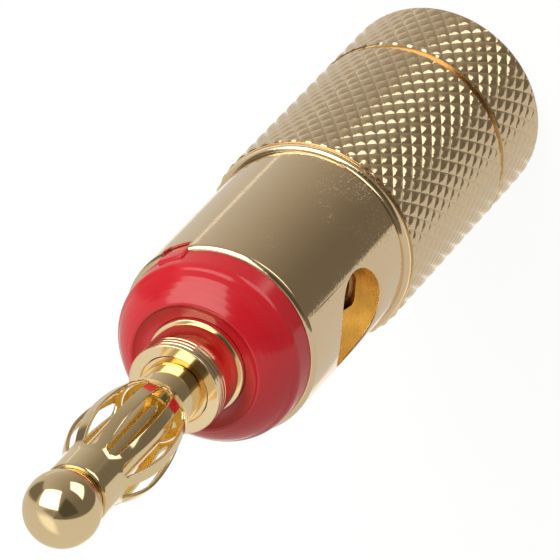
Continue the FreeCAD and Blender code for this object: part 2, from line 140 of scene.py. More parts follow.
@dataclass
class Outline:
    """Half section of a turned piece, as (radius, height) points.

    A straight run of more than ten holds gets a point near each end, which keeps its shading flat.
    """

    points: list[Pair] = field(default_factory=list)
    arc_step: float = math.radians(7)
    hold: float = 0.03
    weld: float = 1e-7

    def to(self, *places: tuple[float, ...]) -> None:
        """Go from place to place, straight or on arcs.

        Args:
            places: radius and height of each place, and behind them, where an arc leads there, the arc's
                own radius, positive where it turns left on the way.
        """
        for place in places:
            if len(place) > 2:
                self.arc(*place)
            else:
                self.points.append(place)

    def arc(self, radius: float, height: float, bend: float) -> None:
        """Go to a place on an arc.

        Args:
            radius: distance of the place from the axis.
            height: place along the axis.
            bend: radius of the arc, positive where it turns left on the way.
        """
        start = Vector(self.points[-1])
        end = Vector((radius, height))
        chord = end - start
        half = chord.length / 2
        rise = math.sqrt(max(bend * bend - half * half, 0))
        left = Vector((-chord.y, chord.x)).normalized()
        centre = (start + end) / 2 + left * math.copysign(rise, bend)
        sweep = 2 * math.asin(min(1, half / abs(bend))) * math.copysign(1, bend)
        steps = max(2, math.ceil(abs(sweep) / self.arc_step))
        spoke = start - centre
        for step in range(1, steps):
            turned = Matrix.Rotation(sweep * step / steps, 2) @ spoke
            self.points.append(tuple(centre + turned))
        self.points.append((radius, height))

    def walk(self, height: float, spacing: float) -> None:
        """Go along the axis in even steps.

        Args:
            height: place along the axis to reach.
            spacing: rough distance between the points on the way.
        """
        radius, start = self.points[-1]
        steps = round(abs(height - start) / spacing)
        self.points.extend((radius, start + (height - start) * (step / steps)) for step in range(1, steps))
        self.points.append((radius, height))

    def climb(self, height: float, grid: float) -> None:
        """Go up along the axis, with a point at each whole multiple of a grid step.

        Args:
            height: place along the axis to reach.
            grid: height between the points on the way.
        """
        radius, start = self.points[-1]
        rows = range(math.floor(start / grid) + 1, math.ceil(height / grid))
        self.points.extend((radius, row * grid) for row in rows)
        self.points.append((radius, height))

    def held(self) -> list[Pair]:
        """Add the points that hold long straight runs.

        Returns:
            All points of the section.
        """
        points = self.points[:1]
        for start, end in zip(self.points, self.points[1:]):
            length = math.dist(start, end)
            if length > self.hold * 10:
                for share in (self.hold / length, 1 - self.hold / length):
                    points.append(tuple(Vector(start).lerp(Vector(end), share)))
            points.append(end)
        return points

    def turn(self, steps: int) -> BMesh:
        """Spin the closed section right round the axis.

        Args:
            steps: segments of the full turn.

        Returns:
            A closed mesh, in metres.
        """
        mesh = bmesh.new()
        verts = [mesh.verts.new((r * MM, 0, z * MM)) for r, z in self.held()]
        edges = [mesh.edges.new(pair) for pair in zip(verts, verts[1:])]
        if self.points[0][0] > 0 or self.points[-1][0] > 0:
            edges.append(mesh.edges.new((verts[-1], verts[0])))
        bmesh.ops.spin(
            mesh, geom=verts + edges, cent=(0, 0, 0), axis=(0, 0, 1), dvec=(0, 0, 0),
            angle=FULL_TURN, steps=steps, use_merge=True, use_normal_flip=False, use_duplicate=False,
        )
        bmesh.ops.remove_doubles(mesh, verts=mesh.verts, dist=self.weld)
        face_outward(mesh)
        return mesh


def face_outward(mesh: BMesh) -> None:
    """Point the faces of a closed mesh away from its inside.

    Args:
        mesh: the closed mesh.
    """
    mesh.normal_update()
    bmesh.ops.recalc_face_normals(mesh, faces=mesh.faces)
    if mesh.calc_volume(signed=True) < 0:
        bmesh.ops.reverse_faces(mesh, faces=mesh.faces)


def polar(vert: bmesh.types.BMVert) -> Triple:
    """Radius and height of a point, and its direction round the axis in radians."""
    return math.hypot(vert.co.x, vert.co.y) / MM, vert.co.z / MM, math.atan2(vert.co.y, vert.co.x)


def press(vert: bmesh.types.BMVert, radius: float, pressed: float) -> None:
    """Move a point from one radius to another."""
    vert.co.x *= pressed / radius
    vert.co.y *= pressed / radius


def block(size: Triple, centre: Triple) -> BMesh:
    """Make a box.

    Args:
        size: lengths of its edges.
        centre: place of its middle.

    Returns:
        A closed mesh, in metres.
    """
    mesh = bmesh.new()
    verts = bmesh.ops.create_cube(mesh, size=1)["verts"]
    bmesh.ops.scale(mesh, vec=Vector(size) * MM, verts=verts)
    bmesh.ops.translate(mesh, vec=Vector(centre) * MM, verts=verts)
    return mesh


def swivel(mesh: BMesh, verts: list[bmesh.types.BMVert], angle: float) -> None:
    """Turn points round the plug's axis by an angle in radians."""
    bmesh.ops.rotate(mesh, cent=(0, 0, 0), matrix=Matrix.Rotation(angle, 3, "Z"), verts=verts)


def smooth(data: bpy.types.Mesh, sharp_angle: float = SHARP_ANGLE) -> None:
    """Shade a mesh smooth but for the edges that bend more than an angle in degrees."""
    data.shade_smooth()
    data.set_sharp_from_angle(angle=math.radians(sharp_angle))


def finish_mesh(mesh: BMesh, name: str, sharp_angle: float = SHARP_ANGLE) -> Piece:
    """Make a smooth shaded object of a mesh and free the mesh.

    Args:
        mesh: the modelled piece, in metres.
        name: name of the new object.
        sharp_angle: edges that bend more than this many degrees stay sharp.

    Returns:
        The object, linked into the scene.
    """
    data = bpy.data.meshes.new(name)
    mesh.to_mesh(data)
    mesh.free()
    smooth(data, sharp_angle)
    piece = bpy.data.objects.new(name, data)
    bpy.context.scene.collection.objects.link(piece)
    return piece


def apply_modifiers(piece: Piece) -> None:
    """Turn a piece's modifiers into its own mesh.

    Args:
        piece: the object to change.
    """
    graph = bpy.context.evaluated_depsgraph_get()
    settled = bpy.data.meshes.new_from_object(piece.evaluated_get(graph))
    piece.modifiers.clear()
    piece.data = settled


def cut(piece: Piece, tool: Piece, operation: str = "DIFFERENCE") -> None:
    """Combine a piece with a tool shape and delete the tool.

    Args:
        piece: the object to change.
        tool: the closed shape to take away or add.
        operation: DIFFERENCE or UNION.
    """
    boolean = piece.modifiers.new("cut", "BOOLEAN")
    boolean.operation = operation
    boolean.solver = "EXACT"
    boolean.object = tool
    apply_modifiers(piece)
    bpy.data.objects.remove(tool)


class Wiring:
    """Short calls that add nodes to a tree and join them."""

    def __init__(self, owner: bpy.types.Material | bpy.types.World) -> None:
        """Switch the owner's nodes on and hold the lists of its tree."""
        owner.use_nodes = True
        self.nodes = owner.node_tree.nodes
        self.links = owner.node_tree.links

    def add(self, kind: str, feeds: dict[str | int, Feed] | None = None,
            **settings: object) -> bpy.types.Node:
        """Add a node.

        Args:
            kind: type of the node.
            feeds: a socket or a constant for each named input.
            settings: other settings of the node.

        Returns:
            The node.
        """
        node = self.nodes.new(kind)
        for name, value in settings.items():
            setattr(node, name, value)
        for name, value in (feeds or {}).items():
            self.feed(value, node.inputs[name])
        return node

    def feed(self, value: Feed, socket: Socket) -> None:
        """Link a socket to an input, or set the input's constant.

        Args:
            value: socket or constant.
            socket: input to feed.
        """
        if isinstance(value, Socket):
            self.links.new(value, socket)
        elif socket.type == "RGBA":
            shade = value if isinstance(value, tuple) else (value,) * 3
            socket.default_value = (*shade[:3], 1)
        else:
            socket.default_value = value

    def math(self, operation: str, *values: Feed) -> Socket:
        """Result of a Math node."""
        return self.add("ShaderNodeMath", dict(enumerate(values)), operation=operation).outputs[0]

    def along(self, way: Socket, axis: Vector) -> Socket:
        """Length of a vector along an axis."""
        return self.add("ShaderNodeVectorMath", {0: way, 1: axis}, operation="DOT_PRODUCT").outputs["Value"]

    def spread(self, value: Feed, low: float, high: float, to_low: float, to_high: float,
               kind: str = "LINEAR") -> Socket:
        """Map one span of values to another.

        Args:
            value: value to map.
            low: start of its span.
            high: end of its span.
            to_low: result at the start.
            to_high: result at the end.
            kind: interpolation of the Map Range node.

        Returns:
            The mapped value.
        """
        feeds = {"Value": value, "From Min": low, "From Max": high, "To Min": to_low, "To Max": to_high}
        return self.add("ShaderNodeMapRange", feeds, interpolation_type=kind).outputs["Result"]

    def rise(self, value: Feed, low: float, high: float) -> Socket:
        """Climb softly from 0 to 1 between two values."""
        return self.spread(value, low, high, 0.0, 1.0, "SMOOTHSTEP")

    def mix(self, share: Feed, first: Feed, second: Feed, kind: str = "MIX") -> Socket:
        """Mix two colours.

        Args:
            share: share of the second colour.
            first: first colour.
            second: second colour.
            kind: blend type of the Mix node.

        Returns:
            The mixed colour.
        """
        feeds = {"Factor": share, "A": first, "B": second}
        return self.add("ShaderNodeMix", feeds, data_type="RGBA", blend_type=kind).outputs["Result"]

    def noise(self, place: Socket, scale: float, detail: float = 2) -> Socket:
        """Cloudy noise over a place."""
        feeds = {"Vector": place, "Scale": scale, "Detail": detail}
        return self.add("ShaderNodeTexNoise", feeds).outputs["Fac"]

    def relief(self, height: Feed, strength: float, below: Feed | None = None) -> Socket:
        """Bend the normal by a height.

        Args:
            height: height of the relief.
            strength: share of the full relief.
            below: normal that the relief lies on, or None for the bare surface.

        Returns:
            The bent normal.
        """
        feeds = {"Height": height, "Strength": strength, "Distance": FULL_RELIEF}
        if below is not None:
            feeds["Normal"] = below
        return self.add("ShaderNodeBump", feeds).outputs["Normal"]


@dataclass(frozen=True)
class PlatedMetal:
    """Polished gold plating over turned, rolled or knurled brass."""

    name: str
    colour: Triple = (0.85, 0.67, 0.45)
    roughness: float = 0.07
    roughness_spread: float = 0.05
    marks: Marks = Marks.TURNED
    mark_size: float = 0.9
    mark_depth: float = 0.1
    mark_detail: float = 4
    colour_spread: float = 0.04
    cloud_scale: float = 260
    cloud_detail: float = 3
    grain_scale: float = 4500
    grain_depth: float = 0.02
    metal: float = 1.0
    fleck_scale: float = 9000
    fleck_span: Pair = (0.53, 0.66)
    fleck_patches: Pair = (0.42, 0.6)
    fleck_dullness: float = 0.0

    def make(self) -> bpy.types.Material:
        """Build the node material.

        Returns:
            The finished material.
        """
        material = bpy.data.materials.new(self.name)
        wiring = Wiring(material)
        shader = wiring.nodes["Principled BSDF"].inputs
        wiring.feed(self.metal, shader["Metallic"])
        place = wiring.add("ShaderNodeTexCoord").outputs["Object"]
        cloud = wiring.noise(place, self.cloud_scale, self.cloud_detail)
        pale = tuple(min(1, c * (1 + self.colour_spread)) for c in self.colour)
        deep = tuple(c * (1 - self.colour_spread) for c in self.colour)
        wiring.feed(wiring.mix(cloud, deep, pale), shader["Base Color"])
        stretch = tuple(scale * self.mark_size / MM for scale in self.marks.value)
        stretched = wiring.add("ShaderNodeMapping", {"Vector": place, "Scale": stretch}).outputs["Vector"]
        streaks = wiring.noise(stretched, 1, self.mark_detail)
        dull = wiring.spread(streaks, 0, 1, self.roughness, self.roughness + self.roughness_spread)
        flecks = wiring.rise(wiring.noise(place, self.fleck_scale), *self.fleck_span)
        patches = wiring.rise(cloud, *self.fleck_patches)
        dulled = wiring.math("MULTIPLY", flecks, patches)
        rough = wiring.math("MULTIPLY_ADD", dulled, self.fleck_dullness, dull)
        wiring.feed(rough, shader["Roughness"])
        turned = wiring.relief(streaks, self.mark_depth)
        grain = wiring.noise(place, self.grain_scale)
        wiring.feed(wiring.relief(grain, self.grain_depth, turned), shader["Normal"])
        return material


@dataclass(frozen=True)
class GlossPlastic:
    """Glossy moulded plastic with a slight cloudiness and an even fine grain."""

    name: str
    colour: Triple
    deep_colour: Triple
    roughness: float = 0.12
    roughness_spread: float = 0.05
    cloud_scale: float = 350
    cloud_detail: float = 4
    grain_scale: float = 9000
    grain_depth: float = 0.05
    refraction: float = 1.57

    def make(self) -> bpy.types.Material:
        """Build the node material.

        Returns:
            The finished material.
        """
        material = bpy.data.materials.new(self.name)
        wiring = Wiring(material)
        shader = wiring.nodes["Principled BSDF"].inputs
        wiring.feed(self.refraction, shader["IOR"])
        place = wiring.add("ShaderNodeTexCoord").outputs["Object"]
        cloud = wiring.noise(place, self.cloud_scale, self.cloud_detail)
        wiring.feed(wiring.mix(cloud, self.deep_colour, self.colour), shader["Base Color"])
        dull = wiring.spread(cloud, 0, 1, self.roughness, self.roughness + self.roughness_spread)
        wiring.feed(dull, shader["Roughness"])
        grain = wiring.noise(place, self.grain_scale)
        wiring.feed(wiring.relief(grain, self.grain_depth), shader["Normal"])
        return material


def settle(piece: Piece, body: Body, node: str, slot: Slot,
           *finishes: PlatedMetal | GlossPlastic) -> None:
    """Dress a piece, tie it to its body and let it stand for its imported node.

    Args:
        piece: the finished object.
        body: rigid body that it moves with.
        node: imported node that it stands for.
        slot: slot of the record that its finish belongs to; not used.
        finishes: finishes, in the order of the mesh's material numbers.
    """
    piece.data.materials.clear()
    for finish in finishes:
        piece.data.materials.append(finish.make())
    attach(piece, body.value)
    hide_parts(node)
    LOG.info("%s: %d faces", piece.name, len(piece.data.polygons))


@dataclass(frozen=True)
class ScrewThread:
    """Right-hand thread, cut as a helical ripple into a plain cylinder."""

    pitch: float = 0.8
    depth: float = 0.42
    run_out: float = 0.25
    flat: float = 0.12
    rows: int = 14

    @property
    def spacing(self) -> float:
        """Distance along the axis between the rows of points that carry the ripple."""
        return self.pitch / self.rows

    def depth_at(self, angle: float, height: float, start: float, end: float, phase: float) -> float:
        """Depth of the thread below its crest.

        Args:
            angle: direction round the axis, in radians.
            height: place along the axis.
            start: height where the thread begins.
            end: height where the thread ends.
            phase: shift along the thread, as a share of the pitch.

        Returns:
            The depth.
        """
        turns = height / self.pitch - angle / FULL_TURN + phase
        share = abs(turns - math.floor(turns) - 0.5) * 2
        profile = min(1, max(0, (share - self.flat) / (1 - 2 * self.flat)))
        fade = min(1, max(0, (height - start) / self.run_out), max(0, (end - height) / self.run_out))
        return self.depth * profile * fade


@dataclass
class ClampCap:
    """Knurled clamp cap with its marking groove, cable bore and threaded stem."""

    span: Span = reach_of("knurled_cap")
    barrel: Span = reach_of("barrel")
    starts: int = 42
    row_step: float = 0.62
    knurl_depth: float = 0.064
    knurl_phase: float = 0.5
    facet_bow: float = 0.9
    facet_floor: float = 1e-3
    ridge_softness: float = 5.0
    samples: int = 8
    crease_limit: float = 0.004
    sharp_angle: float = 24
    end_round: float = 0.5
    front_bevel: float = 0.06
    groove_height: float = 5.05
    groove_width: float = 0.42
    groove_radius: float = 5.15
    groove_slope: float = 0.06
    groove_edge: float = 0.1
    cable_radius: float = 2.5
    mouth_bevel: float = 0.5
    stem_radius: float = 3.75
    stem_bevel: float = 0.35
    stem_margin: float = 0.5
    relief_radius: float = 3.35
    relief_width: float = 0.5
    thread: ScrewThread = ScrewThread()

    def facet(self, turns: float) -> float:
        """Height of a V groove's flank as a share, nearly straight from the groove to halfway."""
        share = 2 * abs(turns - round(turns))
        return share * (1 - self.facet_bow) + self.facet_bow * math.sin(share * math.pi / 2)

    def knurl_radius(self, angle: float, height: float) -> float:
        """Radius of the knurled surface, two crossing sets of helical V grooves.

        Args:
            angle: direction round the axis, in radians.
            height: place along the axis.

        Returns:
            The radius.
        """
        around = angle * self.starts / FULL_TURN + self.knurl_phase
        along = height / (2 * self.row_step)
        power = -self.ridge_softness
        flanks = (max(self.facet(turns), self.facet_floor) for turns in (around + along, around - along))
        rise = sum(flank ** power for flank in flanks) ** (1 / power) * 2 ** (1 / self.ridge_softness)
        return self.span.radius - self.knurl_depth * (1 - rise)

    def outline(self) -> Outline:
        """Draw the cap from its rear face over the knurl and the stem to the cable bore.

        Returns:
            The closed section.
        """
        seam, radius, top = self.barrel.bottom, self.span.radius, self.span.top
        grid = 2 * self.row_step / self.samples
        groove_low = self.groove_height - self.groove_width / 2
        groove_high = self.groove_height + self.groove_width / 2
        section = Outline()
        section.to(
            (self.cable_radius + self.mouth_bevel, 0), (radius - self.end_round, 0),
            (radius, self.end_round, self.end_round),
        )
        section.climb(groove_low - self.groove_edge, grid)
        section.to(
            (radius - self.groove_edge, groove_low),
            (self.groove_radius, groove_low + self.groove_slope),
            (self.groove_radius, groove_high - self.groove_slope),
            (radius - self.groove_edge, groove_high),
            (radius, groove_high + self.groove_edge),
        )
        section.climb(seam - self.front_bevel, grid)
        section.to(
            (radius - self.front_bevel, seam), (self.relief_radius, seam),
            (self.relief_radius, seam + self.relief_width),
            (self.stem_radius, seam + self.relief_width),
        )
        section.walk(top - self.stem_bevel, self.thread.spacing)
        section.to(
            (self.stem_radius - self.stem_bevel, top), (self.cable_radius, top),
            (self.cable_radius, self.mouth_bevel),
        )
        return section

    def press_knurl(self, mesh: BMesh) -> None:
        """Move the outer points inwards to the knurl and the stem's points to the thread.

        Args:
            mesh: the turned cap, in metres.
        """
        foot = self.barrel.bottom + self.relief_width
        for vert in mesh.verts:
            radius, height, angle = polar(vert)
            if radius > self.stem_radius + self.stem_margin:
                press(vert, radius, min(radius, self.knurl_radius(angle, height)))
            elif height > foot and radius > self.stem_radius - NEAR:
                depth = self.thread.depth_at(angle, height, foot, self.span.top, 0)
                press(vert, radius, radius - depth)

    def crease_grooves(self, mesh: BMesh) -> None:
        """Split the quads that a knurl groove crosses along the groove.

        Args:
            mesh: the knurled cap, in metres.
        """
        for face in list(mesh.faces):
            if len(face.verts) != 4:
                continue
            first, second, third, fourth = (Vector((v.co.x, v.co.y)).length for v in face.verts)
            step = (first + third) - (second + fourth)
            if abs(step) < self.crease_limit * MM:
                continue
            corners = list(face.verts)
            pair = (corners[0], corners[2]) if step < 0 else (corners[1], corners[3])
            bmesh.utils.face_split(face, *pair)

    def build(self) -> None:
        """Model and dress the cap, with painted shade on the part that sits inside the barrel."""
        mesh = self.outline().turn(self.starts * self.samples)
        self.press_knurl(mesh)
        self.crease_grooves(mesh)
        piece = finish_mesh(mesh, "knurled_clamp_cap", self.sharp_angle)
        settle(
            piece, Body.CAP, "knurled_cap", Slot.KNURL,
            PlatedMetal("knurl_gold", (0.81, 0.64, 0.42), roughness=0.12, marks=Marks.ROLLED,
                        mark_depth=0.03),
            # Painted shade: a darker, rougher copy of the cap's gold for the stem and the cable bore inside
            # the barrel
            PlatedMetal("stem_gold_painted_shade", (0.5, 0.3, 0.12), roughness=0.35),
        )
        # Faces above the seam's relief, which sit inside the barrel, take the painted shade finish
        for face in piece.data.polygons:
            face.material_index = int(face.center.z > (self.barrel.bottom + self.relief_width / 2) * MM)


@dataclass
class Barrel:
    """Turned barrel with a cross hole for the wire, a flared rear lip and a notch for the ring's key."""

    span: Span = reach_of("barrel")
    steps: int = 288
    wall_front: float = 2.0
    tail_radius: float = 1.5
    bore_radius: float = 3.8
    stem_bevel: float = 0.35
    lip_width: float = 0.16
    lip_bevel: float = 0.07
    flare_length: float = 0.3
    flare_rise: float = 0.27
    rim_bevel: float = 0.22
    rim_arc: float = 0.35
    hole_radius: float = 2.5
    hole_from_rear: float = 5.7
    hole_edge: float = 0.11
    hole_arc_step: float = math.radians(22.5)
    drill_start: float = 0.5
    drill_overrun: float = 1.0
    drill_steps: int = 160
    wall_start: float = 2.7
    wall_slope: float = 0.1
    key_width: float = 1.6
    key_depth: float = 0.65
    key_inner: float = 4.15
    notch_length: float = 2.0
    thread: ScrewThread = ScrewThread()
    thread_phase: float = 0.5
    thread_margin: float = 1.2

    @property
    def radius(self) -> float:
        """Radius in front of the flared lip."""
        return self.span.radius - self.flare_rise

    @property
    def hole_height(self) -> float:
        """Height of the cross hole's axis."""
        return self.span.bottom + self.hole_from_rear

    def outline(self) -> Outline:
        """Draw the barrel from the bore's floor over the rear lip to the front rim.

        Returns:
            The closed section.
        """
        seam, front, lip = self.span.bottom, self.span.top, self.span.radius
        floor = front - self.wall_front
        flare_bend = (self.flare_length ** 2 + self.flare_rise ** 2) / (2 * self.flare_rise)
        section = Outline()
        section.to((self.tail_radius, floor), (self.bore_radius, floor))
        section.walk(seam + self.stem_bevel, self.thread.spacing)
        section.to(
            (self.bore_radius + self.stem_bevel, seam),
            (lip - self.lip_bevel, seam), (lip, seam + self.lip_bevel, self.lip_bevel),
            (lip, seam + self.lip_width),
            (self.radius, seam + self.lip_width + self.flare_length, -flare_bend),
            (self.radius, front - self.rim_bevel), (self.radius - self.rim_bevel, front, self.rim_arc),
            (self.tail_radius, front),
        )
        return section

    def cut_thread(self, mesh: BMesh) -> None:
        """Raise the inside thread from the bore's wall.

        Args:
            mesh: the turned barrel, in metres.
        """
        seam = self.span.bottom
        end = self.span.top - self.wall_front - self.thread_margin
        for vert in mesh.verts:
            radius, height, angle = polar(vert)
            if abs(radius - self.bore_radius) <= NEAR:
                rise = self.thread.depth_at(angle, height, seam, end, self.thread_phase)
                press(vert, radius, radius - rise)

    def hole_tool(self) -> Piece:
        """Make the drill for the cross hole, flared at the barrel's surface for a round edge.

        Returns:
            The closed tool shape.
        """
        edge = self.hole_edge
        section = Outline(arc_step=self.hole_arc_step)
        section.to(
            (0, self.drill_start - self.radius), (self.hole_radius, self.drill_start - self.radius),
            (self.hole_radius, -edge), (self.hole_radius + edge, 0, -edge),
            (self.hole_radius + edge, self.drill_overrun), (0, self.drill_overrun),
        )
        mesh = section.turn(self.drill_steps)
        for vert in mesh.verts:
            side, rise, reach = vert.co / MM
            flat_end = not -self.radius / 2 < reach < self.drill_overrun / 2
            depth = self.radius if flat_end else math.sqrt(self.radius ** 2 - side ** 2)
            vert.co = Vector((depth + reach, side, self.hole_height + rise)) * MM
        face_outward(mesh)
        return finish_mesh(mesh, "drill_shape")

    def notch_tool(self) -> Piece:
        """Make the cutter for the key's notch in the front rim.

        Returns:
            The closed tool shape.
        """
        size = self.notch_length, self.key_width, 2 * self.key_depth
        mesh = block(size, (self.key_inner + self.notch_length / 2, 0, self.span.top))
        swivel(mesh, mesh.verts[:], KEY_ANGLE)
        return finish_mesh(mesh, "notch_shape")

    def mark_hole_wall(self, piece: Piece) -> None:
        """Give the wall of the cross hole and the threaded bore the second finish, whose darker, part-matte
        gold is painted shade inside them.

        Args:
            piece: the barrel.
        """
        for face in piece.data.polygons:
            offset = math.hypot(face.center.y, face.center.z - self.hole_height * MM) / MM
            in_wall = face.center.x > self.wall_start * MM and abs(offset - self.hole_radius) < NEAR
            in_bore = math.hypot(face.center.x, face.center.y) / MM < self.bore_radius + NEAR
            face.material_index = int(in_bore or in_wall and abs(face.normal.x) < self.wall_slope)

    def build(self) -> None:
        """Model and dress the barrel."""
        mesh = self.outline().turn(self.steps)
        self.cut_thread(mesh)
        piece = finish_mesh(mesh, "turned_barrel")
        cut(piece, self.hole_tool())
        cut(piece, self.notch_tool())
        smooth(piece.data)
        settle(
            piece, Body.BARREL, "barrel", Slot.BARREL,
            PlatedMetal("barrel_gold", roughness=0.045, roughness_spread=0.04, mark_depth=0.02,
                        grain_depth=0.4, fleck_dullness=0.25),
            # Second finish: drilled marks and roughness, with a darkened, part-matte colour that is painted
            # shade in the hole and the bore
            PlatedMetal("drilled_gold_and_painted_shade", (0.6, 0.31, 0.055), roughness=0.25, marks=Marks.DRILLED,
                        mark_depth=0.5, colour_spread=0.6, cloud_scale=650, metal=0.4),
        )
        self.mark_hole_wall(piece)


@dataclass
class InsulatorRing:
    """Red moulded ring with a band at its rear, a hollow mouth and a key."""

    barrel: Span = reach_of("barrel")
    steps: int = 256
    height: float = 2.85
    radius: float = 4.92
    rear_bevel: float = 0.04
    taper: float = 0.06
    band: float = 1.35
    band_round: float = 0.22
    band_bend: float = 0.8
    flank_arc: float = 3.2
    mouth_radius: float = 2.56
    bore_radius: float = 2.05
    dish_width: float = 0.87
    dish_depth: float = 0.34
    dish_arc: float = 1.3
    lip_round: float = 0.08
    flange_seat: float = 0.65
    key_outer: float = 5.0
    key_thickness: float = 0.8
    key_width: float = 1.56
    key_depth: float = 0.6
    key_round: float = 0.14
    key_segments: int = 4

    def outline(self) -> Outline:
        """Draw the ring from its rear face over the band, the flank and the lip to the mouth.

        Returns:
            The closed section.
        """
        rear, top = self.barrel.top, self.barrel.top + self.height
        foot = self.radius - self.taper
        lip = self.mouth_radius + self.dish_width
        crown = self.lip_round
        section = Outline()
        section.to(
            (self.bore_radius, rear), (self.radius - self.rear_bevel, rear),
            (self.radius, rear + self.rear_bevel), (foot, rear + self.band - self.band_round),
            (foot - self.band_round, rear + self.band + self.band_round, self.band_bend),
            (lip + crown, top - crown / 2, self.flank_arc), (lip - crown * 0.75, top, crown * 2),
            (lip - crown * 1.5, top - crown / 2, crown),
            (self.mouth_radius, top - self.dish_depth, -self.dish_arc),
            (self.mouth_radius, top - self.flange_seat), (self.bore_radius, top - self.flange_seat),
        )
        return section

    def key(self) -> Piece:
        """Make the rounded key that stands out of the ring's edge.

        Returns:
            The closed key.
        """
        tall = self.key_depth + self.band / 2
        middle = self.barrel.top - self.key_depth + tall / 2
        mesh = block((self.key_thickness, self.key_width, tall),
                     (self.key_outer - self.key_thickness / 2, 0, middle))
        bmesh.ops.bevel(
            mesh, geom=mesh.edges[:], offset=self.key_round * MM, offset_type="OFFSET",
            segments=self.key_segments, profile=0.5, affect="EDGES", material=-1, clamp_overlap=True,
        )
        swivel(mesh, mesh.verts[:], KEY_ANGLE)
        return finish_mesh(mesh, "key_shape")

    def build(self) -> None:
        """Model and dress the ring."""
        piece = finish_mesh(self.outline().turn(self.steps), "red_ring")
        cut(piece, self.key(), "UNION")
        smooth(piece.data)
        plastic = GlossPlastic("red_plastic", (0.47, 0.01, 0.02), (0.4, 0.008, 0.016))
        settle(piece, Body.BARREL, "insulator_ring", Slot.RING, plastic)


@dataclass
class PinBase:
    """Turned base: collar with a narrow recess and fine trim grooves, flange, shank and tail."""

    span: Span = reach_of("pin_base")
    barrel: Span = reach_of("barrel")
    steps: int = 224
    collar_radius: float = 2.39
    collar_bevel: float = 0.06
    recess_radius: float = 1.74
    recess_bevel: float = 0.08
    trim_first: float = 0.3
    trim_step: float = 0.26
    trim_depth: float = 0.04
    trims: int = 3
    flange_height: float = 0.6
    flange_round: float = 0.08
    shank_radius: float = 2.0
    tail_radius: float = 1.48
    tail_bevel: float = 0.3
    socket_radius: float = 1.12
    socket_depth: float = 2.45
    collar_height: float = 2.5

    def outline(self) -> Outline:
        """Draw the base from its tail over the flange and the collar to the pin's socket.

        Returns:
            The closed section.
        """
        bottom, top, radius, shoulder = self.span.bottom, self.span.top, self.span.radius, self.barrel.top
        flange_top = top - self.collar_height
        seat = flange_top - self.flange_height
        floor = top - RECESS_DEPTH
        edge = self.flange_round
        section = Outline()
        section.to(
            (0, bottom), (self.tail_radius - self.tail_bevel, bottom),
            (self.tail_radius, bottom + self.tail_bevel), (self.tail_radius, shoulder),
            (self.shank_radius, shoulder), (self.shank_radius, seat),
            (radius, seat), (radius, flange_top - edge), (radius - edge, flange_top, edge),
            (self.collar_radius, flange_top),
        )
        for trim in reversed(range(self.trims)):
            middle = top - self.trim_first - trim * self.trim_step
            section.to(
                (self.collar_radius, middle - self.trim_depth),
                (self.collar_radius - self.trim_depth, middle),
                (self.collar_radius, middle + self.trim_depth),
            )
        section.to(
            (self.collar_radius, top - self.collar_bevel),
            (self.collar_radius - self.collar_bevel, top, self.collar_bevel),
            (self.recess_radius + self.recess_bevel, top), (self.recess_radius, top - self.recess_bevel),
            (self.recess_radius, floor), (self.socket_radius, floor),
            (self.socket_radius, floor - self.socket_depth), (0, floor - self.socket_depth),
        )
        return section

    def build(self) -> None:
        """Model and dress the base."""
        piece = finish_mesh(self.outline().turn(self.steps), "collar_and_flange")
        plating = PlatedMetal("collar_gold", (0.94, 0.77, 0.5), roughness=0.06, mark_depth=0.08)
        settle(piece, Body.BARREL, "pin_base", Slot.PIN, plating)


@dataclass
class Pin:
    """Turned pin: ball tip, neck, core, thicker root and peg."""

    span: Span = reach_of("pin")
    lantern: Span = reach_of("lantern_spring")
    base: Span = reach_of("pin_base")
    steps: int = 224
    arc_step: float = math.radians(3)
    neck_radius: float = 1.45
    core_radius: float = 1.25
    root_radius: float = 1.58
    root_lap: float = 0.45
    root_cone: float = 0.35
    peg_radius: float = 1.1

    def outline(self) -> Outline:
        """Draw the pin from its peg over the root, the core and the neck to the ball.

        Returns:
            The closed section.
        """
        ball = self.span.radius
        ball_height = self.span.top - ball
        neck_rear = self.lantern.top - SLEEVE_LENGTH
        root_top = self.lantern.bottom + self.root_lap
        recess_floor = self.base.top - RECESS_DEPTH
        section = Outline(arc_step=self.arc_step)
        section.to(
            (0, self.span.bottom), (self.peg_radius, self.span.bottom), (self.peg_radius, recess_floor),
            (self.root_radius, recess_floor), (self.root_radius, root_top - self.root_cone),
            (self.core_radius, root_top),
            (self.core_radius, neck_rear - (self.neck_radius - self.core_radius)),
            (self.neck_radius, neck_rear),
            (self.neck_radius, ball_height - math.sqrt(ball ** 2 - self.neck_radius ** 2)),
            (ball, ball_height, ball), (0, self.span.top, ball),
        )
        return section

    def build(self) -> None:
        """Model and dress the pin."""
        piece = finish_mesh(self.outline().turn(self.steps), "turned_pin")
        plating = PlatedMetal("pin_gold", (0.92, 0.74, 0.45), roughness=0.06, mark_depth=0.03)
        settle(piece, Body.BARREL, "pin", Slot.PIN, plating)


